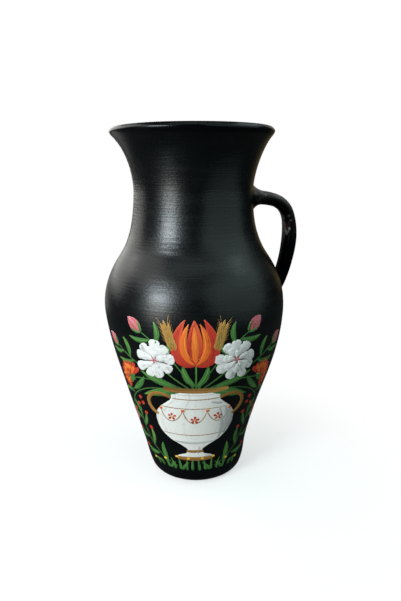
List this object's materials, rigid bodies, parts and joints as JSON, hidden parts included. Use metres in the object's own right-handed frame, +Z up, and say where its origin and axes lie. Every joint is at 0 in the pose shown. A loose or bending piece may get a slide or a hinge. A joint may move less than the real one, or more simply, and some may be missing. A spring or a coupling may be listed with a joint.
{
  "type": "ceramic jug",
  "caption": "Tall black earthenware jug with a pear-shaped belly, a waisted neck flaring to an open mouth, and a looped side handle for pouring and carrying.",
  "frame": {"origin": "centre of the flat base, on the surface that the jug stands on", "axes": "+Z up along the jug's turning axis, +X towards the handle, +Y to the side so that the axes are right-handed"},
  "size_m": [0.1696, 0.1542, 0.3002],
  "materials": {
    "belly_coat": "earthenware under a satin black coat",
    "neck_coat": "earthenware under a satin black coat",
    "handle_coat": "earthenware under a satin black coat, worn on the grip",
    "coil_coat": "earthenware under a satin black coat",
    "clay_slip": "bare brown fired clay"
  },
  "bodies": {
    "root": {"belly": "belly_coat", "neck": "neck_coat", "shoulder_slip_ring": "clay_slip", "handle": "handle_coat", "upper_handle_slip": "clay_slip", "lower_handle_slip": "clay_slip", "upper_handle_collar": "coil_coat", "lower_handle_collar": "coil_coat"}
  },
  "joints": []
}
